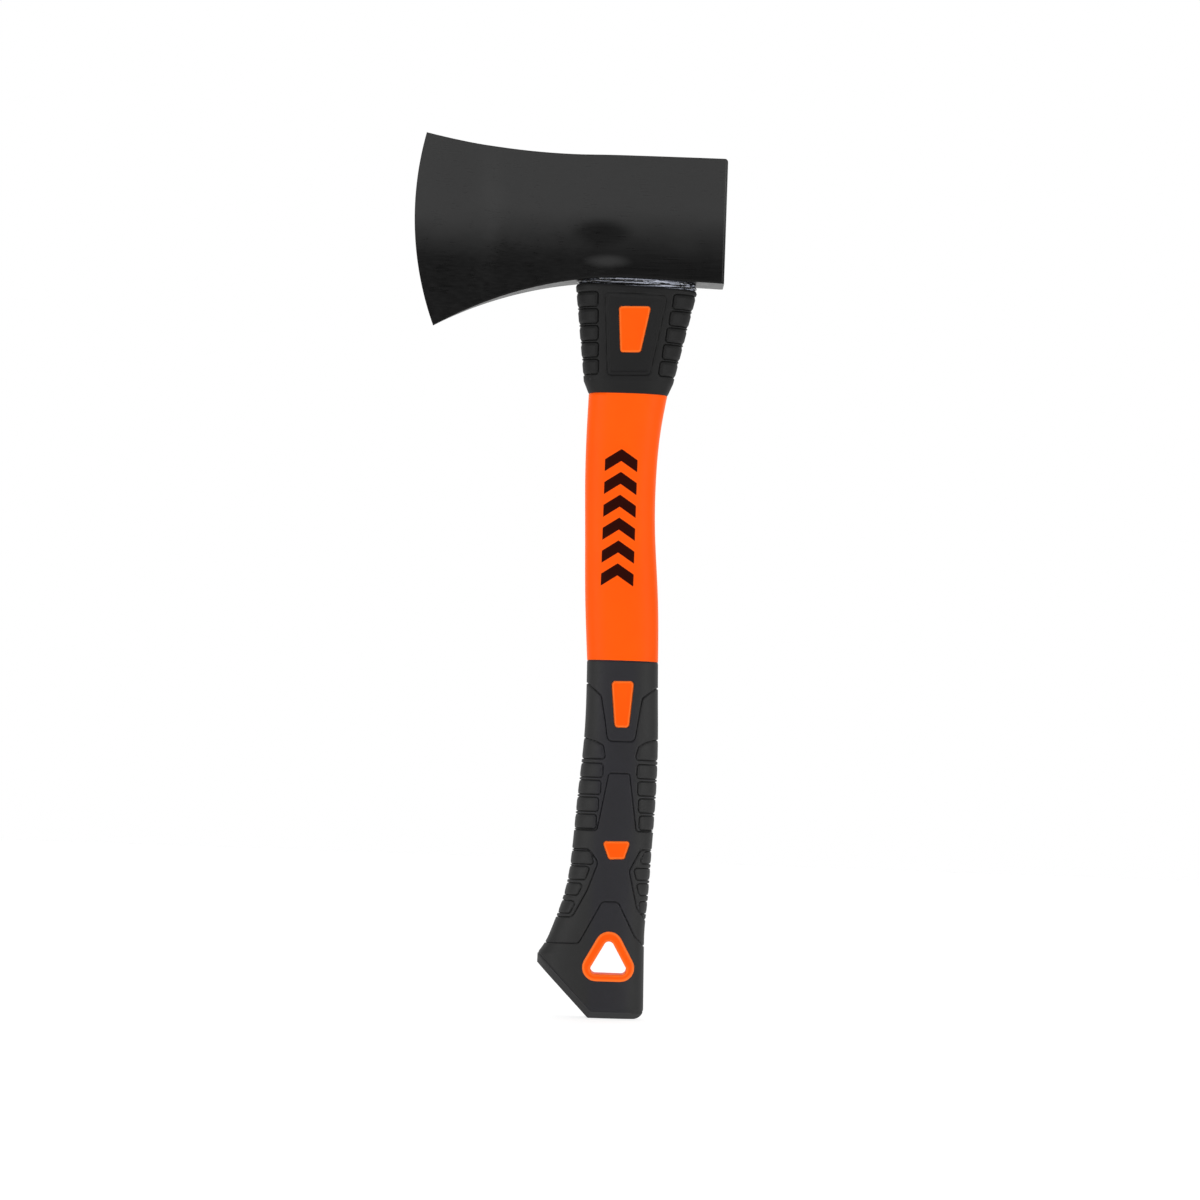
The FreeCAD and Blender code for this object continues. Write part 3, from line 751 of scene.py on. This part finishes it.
def arc_height(start, end, bow):
    """Height of the arc between two points, as a function of x."""
    chord = math.dist(start, end)
    radius = (chord ** 2 / 4 + bow ** 2) / (2 * abs(bow))
    along = np.array([end[0] - start[0], end[1] - start[1]]) / chord
    up = np.array([-along[1], along[0]])
    if up[1] < 0:
        up = -up
    middle = (np.array(start) + np.array(end)) / 2 + up * (bow - math.copysign(radius, bow))
    way = math.copysign(1.0, bow)
    return lambda x: middle[1] + way * np.sqrt(np.maximum(radius ** 2 - (x - middle[0]) ** 2, 0))


def top_edge(x):
    """Height of the head's top, with its horn and its rounded corner at the poll."""
    horn = arc_height(TOE, (HORN_START, HEAD_TOP), HORN_BOW)
    over = np.clip(x - POLL_REACH + HEAD_CORNER, 0, HEAD_CORNER)
    corner = HEAD_TOP - HEAD_CORNER + np.sqrt(HEAD_CORNER ** 2 - over ** 2)
    return np.where(x < HORN_START, horn(x), corner)


def bottom_edge(x):
    """Height of the head's underside, with its beard."""
    beard = arc_height(HEEL, (BEARD_START, UNDERSIDE - SEAT_SLOPE * BEARD_START), BEARD_BOW)
    return np.where(x < BEARD_START, beard(x), UNDERSIDE - SEAT_SLOPE * x)


def head_grid():
    """Points of the head's side view, spread between its four edges."""
    shares = [0, 0.0004, 0.0015, 0.004, 0.0075, 0.0112]
    along = np.array(shares + list(np.linspace(0.0112, 1, 112)[1:]))[None, :]
    rim = [0, 0.0012, 0.003, 0.006, 0.010, 0.016]
    up = np.array(rim + list(np.linspace(0.03, 0.97, 62)) + [1 - v for v in rim[::-1]])[:, None]
    bottom_x = POLL_REACH + along * (HEEL[0] - POLL_REACH)
    top_x = POLL_REACH + along * (TOE[0] - POLL_REACH)
    bottom_z, top_z = bottom_edge(bottom_x), top_edge(top_x)
    chord_x = HEEL[0] + up * (TOE[0] - HEEL[0])
    chord_z = HEEL[1] + up * (TOE[1] - HEEL[1])
    half_chord = math.dist(TOE, HEEL) / 2
    radius = half_chord ** 2 / (2 * EDGE_SAGITTA) + EDGE_SAGITTA / 2
    off = (2 * up - 1) * half_chord
    bulge = np.sqrt(radius ** 2 - off ** 2) - (radius - EDGE_SAGITTA)
    lean = math.atan2(HEEL[0] - TOE[0], TOE[1] - HEEL[1])
    edge_x = chord_x - bulge * math.cos(lean)
    edge_z = chord_z - bulge * math.sin(lean)
    poll_z = bottom_z[0, 0] + up * (top_z[0, 0] - bottom_z[0, 0])
    x = (1 - up) * bottom_x + up * top_x + (1 - along) * POLL_REACH + along * edge_x
    x -= (1 - along) * POLL_REACH + along * chord_x
    z = (1 - up) * bottom_z + up * top_z + (1 - along) * poll_z + along * edge_z
    z -= (1 - along) * poll_z + along * chord_z
    return x, z, radius


def head_thickness(x, z, radius):
    """Half thickness: poll, swell round the eye, hollow cheeks, thin blade."""
    plan = spline(*zip(*HEAD_PLAN))(x)
    over = np.clip(x - POLL_REACH + HEAD_CORNER, 0, HEAD_CORNER)
    plan -= HEAD_CORNER - np.sqrt(HEAD_CORNER ** 2 - over ** 2)
    middle_x, middle_z = (TOE[0] + HEEL[0]) / 2, (TOE[1] + HEEL[1]) / 2
    lean = math.atan2(HEEL[0] - TOE[0], TOE[1] - HEEL[1])
    centre_x = middle_x + (radius - EDGE_SAGITTA) * math.cos(lean)
    centre_z = middle_z + (radius - EDGE_SAGITTA) * math.sin(lean)
    from_edge = radius - np.hypot(x - centre_x, z - centre_z)
    bevel = 0.15 + BEVEL_SLOPE * np.maximum(from_edge, 0)
    blend = np.clip(0.5 + (bevel - plan) / 1.2, 0, 1)
    half = bevel * (1 - blend) + plan * blend - 0.6 * blend * (1 - blend)
    height = (z - (HEAD_TOP + UNDERSIDE) / 2) / 30.0
    crown = 0.5 * np.clip(height ** 2, 0, 1) * np.clip((x + 60) / 40, 0, 1)
    rim = np.minimum(z - bottom_edge(x), top_edge(x) - z)
    rounding = np.clip(RIM_RADIUS - rim, 0, RIM_RADIUS)
    soft = (RIM_RADIUS - np.sqrt(RIM_RADIUS ** 2 - rounding ** 2)) * np.clip(half / 3, 0, 1)
    return np.maximum(half - crown - soft, 0.1)


def cut_eye(piece):
    """Cuts the tapered oval eye through the head."""
    sections = [(0.0, -20.0, 20.0, 8.1), (60.0, -20.8, 20.8, 8.9)]
    skin = Skin(sections, UNDERSIDE - 5, straight, EYE_FULLNESS)
    part = tube(skin, heights(UNDERSIDE - 5, HEAD_TOP + 3, 80.0), 90, lambda x, z: x * 0)
    cutter = new_piece("eye_cutter", [part], None, piece.data.materials[0])
    cut = piece.modifiers.new("eye", "BOOLEAN")
    cut.object = cutter
    cut.solver = "EXACT"
    evaluated = piece.evaluated_get(bpy.context.evaluated_depsgraph_get())
    mesh = bpy.data.meshes.new_from_object(evaluated)
    piece.modifiers.clear()
    piece.data = mesh
    bpy.data.objects.remove(cutter)


def head(material):
    x, z, radius = head_grid()
    y = head_thickness(x, z, radius)
    part = shell((x, -y, z), (x, y, z))
    piece = new_piece("axe_head_lacquered", [part], ["axe_head"], material, sharp=0.6)
    cut_eye(piece)
    return piece


# ------------------------------------------------------------ material helpers
def new_material(name):
    made = bpy.data.materials.new(name)
    made.use_nodes = True
    return made, made.node_tree.nodes["Principled BSDF"]


def node(owner, kind, inputs=None, **settings):
    """A shader node with its inputs set or linked."""
    tree = owner.node_tree
    made = tree.nodes.new(kind)
    for key, value in settings.items():
        setattr(made, key, value)
    for key, value in (inputs or {}).items():
        put(owner, made.inputs[key], value)
    return made


def put(owner, socket, value):
    """Links a socket to another or sets its value."""
    if isinstance(value, bpy.types.NodeSocket):
        owner.node_tree.links.new(value, socket)
    else:
        socket.default_value = value


def place(owner, scale=(1, 1, 1)):
    """Object coordinates in millimetres, stretched by a scale."""
    whole = tuple(1000.0 * s for s in scale)
    coordinates = node(owner, "ShaderNodeTexCoord").outputs["Object"]
    return node(owner, "ShaderNodeMapping", {"Vector": coordinates, "Scale": whole}).outputs[0]


def noise(owner, size, scale=(1, 1, 1), detail=3.0, roughness=0.55):
    """Noise whose features are about that many millimetres wide."""
    return node(owner, "ShaderNodeTexNoise", {
        "Vector": place(owner, scale), "Scale": 1.0 / size, "Detail": detail, "Roughness": roughness,
    }).outputs["Fac"]


def remap(owner, value, low, high, out_low, out_high):
    """Value that goes smoothly from out_low at low to out_high at high."""
    return node(owner, "ShaderNodeMapRange", {
        "Value": value, "From Min": low, "From Max": high, "To Min": out_low, "To Max": out_high,
    }, interpolation_type="SMOOTHSTEP").outputs["Result"]


def combined(owner, a, b, kind="ADD"):
    """Two values added, or combined in another way that is named."""
    return node(owner, "ShaderNodeMath", {0: a, 1: b}, operation=kind).outputs[0]


def mixed(owner, factor, a, b):
    """Colour between two colours."""
    made = node(owner, "ShaderNodeMix", {"Factor": factor}, data_type="RGBA")
    colours = [socket for socket in made.inputs if socket.type == "RGBA"]
    put(owner, colours[0], a)
    put(owner, colours[1], b)
    return [socket for socket in made.outputs if socket.type == "RGBA"][0]


def bump(owner, height, distance, strength=1.0, under=None):
    """Bump of that many millimetres."""
    inputs = {"Height": height, "Distance": distance * MM, "Strength": strength}
    if under is not None:
        inputs["Normal"] = under
    return node(owner, "ShaderNodeBump", inputs).outputs["Normal"]


def axis_of(owner, letter):
    """Object coordinate X, Y or Z of the shaded point, in millimetres."""
    return node(owner, "ShaderNodeSeparateXYZ", {0: place(owner)}).outputs[letter]


def spot(owner, x, z, wide, high):
    """1 in the middle of a soft oval in the side view, 0 outside it."""
    seen = place(owner, (1 / wide, 0, 1 / high))
    away = node(owner, "ShaderNodeVectorMath", {0: seen, 1: (x / wide, 0, z / high)}, operation="DISTANCE")
    return remap(owner, away.outputs["Value"], 0.15, 1.0, 1.0, 0.0)


def grey(value, tint=(1, 1, 1)):
    """Grey of that brightness, turned towards a tint."""
    return (value * tint[0], value * tint[1], value * tint[2], 1.0)


# ------------------------------------------------------------ materials
def lacquer():
    """Satin black lacquer over a forged head, with drag streaks, and a painted reflection: the upper cheeks
    painted lighter, with a painted dark patch and a painted highlight over the eye.
    """
    made, surface = new_material("head_lacquer")
    streaks = noise(made, 0.55, (0.03, 1.0, 1.0), 3.0)
    mottle = noise(made, 7.0, detail=5.0)
    orange_peel = noise(made, 0.8, detail=2.0)
    across = axis_of(made, "Z")
    # Painted reflection: the cheeks are painted lighter above a wandering height and darker below it.
    wander = combined(made, across, remap(made, noise(made, 26.0, (0.4, 1, 1)), 0.3, 0.7, -2.5, 2.5))
    upper = remap(made, wander, UNDERSIDE + 5.0, UNDERSIDE + 30.0, 0.0, 1.0)
    # Painted dark patch and painted highlight over the eye, in place of the reflection in the eye swell.
    painted_dark_patch = remap(made, spot(made, -16.0, UNDERSIDE + 19.0, 19.0, 9.0), 0.0, 1.0, 1.0, 0.1)
    painted_eye_highlight = combined(made, spot(made, -13.0, UNDERSIDE + 7.0, 13.0, 4.0), 0.75, "MULTIPLY")
    painted_sheen_mask = combined(made, combined(made, upper, painted_dark_patch, "MULTIPLY"), painted_eye_highlight, "MAXIMUM")
    painted_sheen_colour = mixed(made, painted_sheen_mask, grey(0.0025), grey(0.033))
    streaked = mixed(made, remap(made, streaks, 0.35, 0.75, 0.0, 0.14), painted_sheen_colour, grey(0.022))
    dust = remap(made, noise(made, 0.5, detail=1.0), 0.72, 0.8, 0.0, 0.25)
    put(made, surface.inputs["Base Color"], mixed(made, dust, streaked, grey(0.06)))
    drawn = remap(made, streaks, 0.3, 0.7, 0.28, 0.34)
    uneven = remap(made, mottle, 0.3, 0.7, -0.03, 0.04)
    put(made, surface.inputs["Roughness"], combined(made, drawn, uneven))
    surface.inputs["Specular IOR Level"].default_value = 0.14
    fine = bump(made, orange_peel, 0.008, 0.4)
    dents = bump(made, mottle, 0.08, 0.3, fine)
    put(made, surface.inputs["Normal"], bump(made, streaks, 0.008, 0.12, dents))
    return made


def orange_plastic():
    """Moulded orange plastic, a little uneven and scuffed, with a painted highlight where its surface turns
    edge-on and along its rims.
    """
    made, surface = new_material("orange_plastic")
    clouds = noise(made, 22.0, (1, 1, 0.5), 3.0)
    scuffs = noise(made, 0.7, (1.0, 1.0, 0.12), 4.0, 0.7)
    grain = noise(made, 0.28, detail=2.0)
    clouded = remap(made, clouds, 0.3, 0.7, 0.0, 1.0)
    base = mixed(made, clouded, (0.94, 0.092, 0.0015, 1), (0.98, 0.101, 0.002, 1))
    # Painted highlight: paler orange where the surface turns edge-on and on the rims of the ring, hole and
    # window lumps.
    turned = node(made, "ShaderNodeLayerWeight", {"Blend": 0.22}).outputs["Facing"]
    rim = node(made, "ShaderNodeAttribute", attribute_name="rim").outputs["Fac"]
    painted_edge_highlight = combined(made, rim, 0.5, "MULTIPLY")
    lit = combined(made, painted_edge_highlight, remap(made, turned, 0.2, 0.85, 0.0, 0.7), "MAXIMUM")
    pale_painted_highlight = mixed(made, lit, base, (1.0, 0.24, 0.04, 1))
    marked = mixed(made, remap(made, scuffs, 0.66, 0.78, 0.0, 0.15), pale_painted_highlight, (0.99, 0.16, 0.02, 1))
    put(made, surface.inputs["Base Color"], marked)
    put(made, surface.inputs["Roughness"], remap(made, scuffs, 0.3, 0.75, 0.42, 0.56))
    surface.inputs["Specular IOR Level"].default_value = 0.07
    soft = bump(made, clouds, 0.08, 0.25)
    put(made, surface.inputs["Normal"], bump(made, grain, 0.012, 0.5, soft))
    return made


def rubber(name, depth, painted_light_tint):
    """Black moulded rubber with a fine matt grain, a painted highlight on its sharp edges and painted light
    from below on faces that look down. A smaller depth is a blacker rubber, and the tint colours the
    painted shade down the middle of the faces and the painted highlight."""
    made, surface = new_material(name)
    grain = noise(made, 0.35, detail=3.0, roughness=0.7)
    patches = noise(made, 9.0, detail=4.0)
    scuffs = noise(made, 1.1, (1.0, 1.0, 0.3), 4.0, 0.7)
    # Painted shade: darker and bluish down the middle of the front and back faces.
    aside = combined(made, combined(made, axis_of(made, "X"), 2.0), 0.0, "ABSOLUTE")
    middle = remap(made, aside, 6.0, 11.0, 1.0, 0.0)
    painted_middle_shade = mixed(made, middle, grey(0.016 * depth), grey(0.0145 * depth, painted_light_tint))
    base = mixed(made, remap(made, patches, 0.3, 0.7, 0.0, 0.25), painted_middle_shade, grey(0.011 * depth))
    # Painted light from below: faces that look down are painted lighter.
    geometry = node(made, "ShaderNodeNewGeometry")
    facing = node(made, "ShaderNodeSeparateXYZ", {0: geometry.outputs["Normal"]}).outputs["Z"]
    base = mixed(made, remap(made, facing, -0.75, -0.3, 0.6, 0.0), base, grey(0.03 * depth))
    # Painted highlight: sharp edges and rims are painted lighter.
    pointed = remap(made, geometry.outputs["Pointiness"], 0.515, 0.6, 0.0, 0.7)
    painted_edge_highlight = mixed(made, pointed, base, grey(0.04 * depth, painted_light_tint))
    dusty = mixed(made, remap(made, scuffs, 0.64, 0.78, 0.0, 0.3), painted_edge_highlight, grey(0.032 * depth))
    put(made, surface.inputs["Base Color"], dusty)
    put(made, surface.inputs["Roughness"], remap(made, grain, 0.3, 0.7, 0.52, 0.66))
    surface.inputs["Specular IOR Level"].default_value = 0.28 * depth
    soft = bump(made, patches, 0.1, 0.3)
    put(made, surface.inputs["Normal"], bump(made, grain, 0.03, 0.7, soft))
    return made


def sealant():
    """Glossy black sealant smeared along the joint, with painted highlights as pale bluish streaks,
    stronger towards +X.
    """
    made, surface = new_material("sealant")
    wrinkles = noise(made, 1.2, (0.2, 1.0, 1.4), 4.0)
    streaks = noise(made, 0.6, (0.03, 0.3, 1.0), 1.5)
    along = remap(made, axis_of(made, "X"), -24.0, 16.0, 0.2, 1.0)
    # Painted highlight: pale bluish streaks in place of reflections in the gloss.
    pale_painted_highlight = combined(made, remap(made, streaks, 0.48, 0.6, 0.0, 1.0), along, "MULTIPLY")
    base = mixed(made, pale_painted_highlight, grey(0.008), grey(0.5, (0.88, 0.93, 1.1)))
    put(made, surface.inputs["Base Color"], base)
    put(made, surface.inputs["Roughness"], remap(made, streaks, 0.3, 0.7, 0.14, 0.3))
    put(made, surface.inputs["Normal"], bump(made, wrinkles, 0.35, 0.5))
    return made


def epoxy():
    """Dark amber epoxy with trapped bubbles."""
    made, surface = new_material("epoxy")
    bubbles = noise(made, 0.9, detail=3.0)
    cloudy = remap(made, bubbles, 0.35, 0.7, 0.0, 1.0)
    base = mixed(made, cloudy, (0.05, 0.03, 0.012, 1), (0.12, 0.075, 0.03, 1))
    put(made, surface.inputs["Base Color"], base)
    put(made, surface.inputs["Roughness"], remap(made, bubbles, 0.3, 0.7, 0.2, 0.4))
    put(made, surface.inputs["Normal"], bump(made, bubbles, 0.15, 0.6))
    return made


def fibreglass():
    """Cut end of the fibreglass core: pale resin with the ends of its rovings."""
    made, surface = new_material("fibreglass")
    rovings = node(made, "ShaderNodeTexVoronoi", {"Vector": place(made), "Scale": 1.6}).outputs["Distance"]
    clouds = noise(made, 3.0, detail=4.0)
    ends = mixed(made, remap(made, rovings, 0.1, 0.6, 0.0, 1.0), (0.62, 0.58, 0.4, 1), (0.34, 0.3, 0.17, 1))
    base = mixed(made, remap(made, clouds, 0.3, 0.7, 0.0, 0.4), ends, (0.5, 0.44, 0.28, 1))
    put(made, surface.inputs["Base Color"], base)
    put(made, surface.inputs["Roughness"], remap(made, clouds, 0.3, 0.7, 0.45, 0.7))
    put(made, surface.inputs["Normal"], bump(made, rovings, 0.12, 0.6))
    return made


def print_ink():
    """Dark screen-print ink, worn thin in places."""
    made, surface = new_material("print_ink")
    wear = noise(made, 1.3, detail=5.0, roughness=0.7)
    worn = remap(made, wear, 0.64, 0.78, 0.0, 0.5)
    base = mixed(made, worn, (0.022, 0.0015, 0.0002, 1), (0.16, 0.02, 0.002, 1))
    put(made, surface.inputs["Base Color"], base)
    put(made, surface.inputs["Roughness"], remap(made, wear, 0.3, 0.7, 0.4, 0.6))
    put(made, surface.inputs["Normal"], bump(made, wear, 0.02, 0.5))
    surface.inputs["Specular IOR Level"].default_value = 0.05
    return made


# ------------------------------------------------------------ studio
def studio_world():
    """White behind the axe, and a softer sky that is darker on the camera's side."""
    world = bpy.data.worlds.new("studio")
    bpy.context.scene.world = world
    world.use_nodes = True
    tree = world.node_tree
    backdrop = tree.nodes["Background"]
    backdrop.inputs["Color"].default_value = (1, 1, 1, 1)
    direction = node(world, "ShaderNodeTexCoord").outputs["Generated"]
    parts = node(world, "ShaderNodeSeparateXYZ", {0: direction})
    height = remap(world, parts.outputs["Z"], 0.1, 1.0, 0.0, 0.25)
    behind = remap(world, parts.outputs["Y"], -0.3, 0.9, 0.08, 0.95)
    strength = combined(world, height, behind)
    lit = node(world, "ShaderNodeBackground", {"Color": (1, 1, 1, 1), "Strength": strength})
    seen = node(world, "ShaderNodeLightPath").outputs["Is Camera Ray"]
    both = node(world, "ShaderNodeMixShader", {0: seen, 1: lit.outputs[0], 2: backdrop.outputs[0]})
    tree.links.new(both.outputs[0], tree.nodes["World Output"].inputs["Surface"])


def softbox(name, location, target, width, height, power):
    """Rectangular light aimed at a point, not seen by the camera."""
    data = bpy.data.lights.new(name, "AREA")
    data.shape = "RECTANGLE"
    data.size, data.size_y = width, height
    data.energy = power
    lamp = bpy.data.objects.new(name, data)
    bpy.context.scene.collection.objects.link(lamp)
    lamp.location = location
    lamp.rotation_mode = "QUATERNION"
    lamp.rotation_quaternion = (Vector(target) - Vector(location)).to_track_quat("-Z", "Y")
    lamp.visible_camera = False


def floor():
    """Pale matt floor that glows a little, so that it meets the white behind."""
    mesh = bpy.data.meshes.new("floor")
    side = 6.0
    corners = [(-side, -side, 0), (side, -side, 0), (side, side, 0), (-side, side, 0)]
    mesh.from_pydata(corners, [], [(0, 1, 2, 3)])
    ground = bpy.data.objects.new("floor", mesh)
    ground.location.z = CAD_LOW.z - 0.0002
    bpy.context.scene.collection.objects.link(ground)
    made, surface = new_material("floor")
    speckle = noise(made, 30.0)
    put(made, surface.inputs["Base Color"], mixed(made, speckle, grey(0.33), grey(0.37)))
    put(made, surface.inputs["Roughness"], remap(made, speckle, 0.3, 0.7, 0.7, 0.85))
    surface.inputs["Emission Color"].default_value = (1, 1, 1, 1)
    surface.inputs["Emission Strength"].default_value = 0.75
    mesh.materials.append(made)


def camera():
    """Long lens a little below the middle, looking slightly up, turned two degrees."""
    location = Vector((-0.0113, -1.92, 0.0895))
    forward = (Vector((-0.0113, 0.0, 0.1802)) - location).normalized()
    level_right = forward.cross(Vector((0, 0, 1))).normalized()
    level_up = level_right.cross(forward)
    roll = math.radians(2.0)
    right = level_right * math.cos(roll) + level_up * math.sin(roll)
    up = level_up * math.cos(roll) - level_right * math.sin(roll)
    data = bpy.data.cameras.new("camera")
    data.lens, data.sensor_width = 133.0, 36.0
    made = bpy.data.objects.new("camera", data)
    bpy.context.scene.collection.objects.link(made)
    turn = Matrix((right, up, -forward)).transposed().to_4x4()
    made.matrix_world = Matrix.Translation(location) @ turn
    bpy.context.scene.camera = made


def build():
    camera()
    studio_world()
    floor()
    softbox("left_box", (-1.25, -0.95, 0.3), (0, 0, 0.2), 0.7, 1.1, 12.0)
    softbox("right_box", (1.25, -0.95, 0.3), (0, 0, 0.2), 0.7, 1.1, 12.0)
    softbox("brow_box", (0.0, -1.5, 0.9), (0, 0, 0.35), 2.4, 0.65, 4.4)
    grip_sleeve(rubber("grip_rubber", 1.0, (0.98, 0.95, 1.2)))
    collar(rubber("collar_rubber", 0.62, (0.99, 0.99, 1.03)))
    jacket(orange_plastic())
    shaft_print(print_ink())
    bead(sealant())
    head(lacquer())
    for name, material in (("eye_adhesive", epoxy()), ("handle_core", fibreglass())):
        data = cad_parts[name].data
        data.materials.clear()
        data.materials.append(material)


build()
bpy.context.scene.view_settings.view_transform = "Standard"
